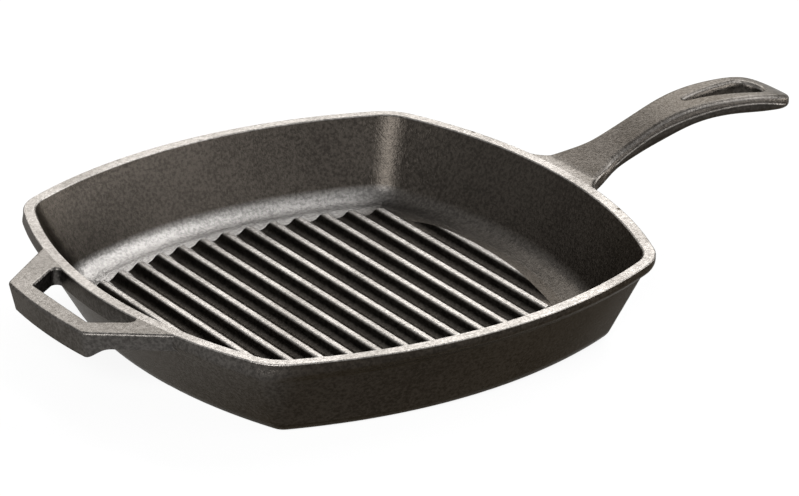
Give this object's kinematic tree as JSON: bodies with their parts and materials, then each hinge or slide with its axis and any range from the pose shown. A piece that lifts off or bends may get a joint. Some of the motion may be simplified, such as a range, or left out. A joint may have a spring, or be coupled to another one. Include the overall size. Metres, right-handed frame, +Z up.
{
  "type": "grill pan",
  "caption": "Square cast iron grill pan with bowed sides, raised parallel ribs, a pour lip, a long handle with a hanging hole and an open helper handle.",
  "frame": {"origin": "centre of the flat underside of the base, on the surface that the pan stands on", "axes": "+Z up, +X from the helper handle through the pan to the long handle, +Y along the ribs"},
  "size_m": [0.4325, 0.268, 0.0654],
  "materials": {
    "seasoned_iron": "sand cast and seasoned, matt with a fine pebbled grain"
  },
  "bodies": {
    "root": {"pan_floor": "seasoned_iron", "pan_wall": "seasoned_iron", "rib_01": "seasoned_iron", "rib_02": "seasoned_iron", "rib_03": "seasoned_iron", "rib_04": "seasoned_iron", "rib_05": "seasoned_iron", "rib_06": "seasoned_iron", "rib_07": "seasoned_iron", "rib_08": "seasoned_iron", "rib_09": "seasoned_iron", "rib_10": "seasoned_iron", "rib_11": "seasoned_iron", "rib_12": "seasoned_iron", "rib_13": "seasoned_iron", "rib_14": "seasoned_iron", "long_handle": "seasoned_iron", "helper_handle": "seasoned_iron"}
  },
  "joints": []
}
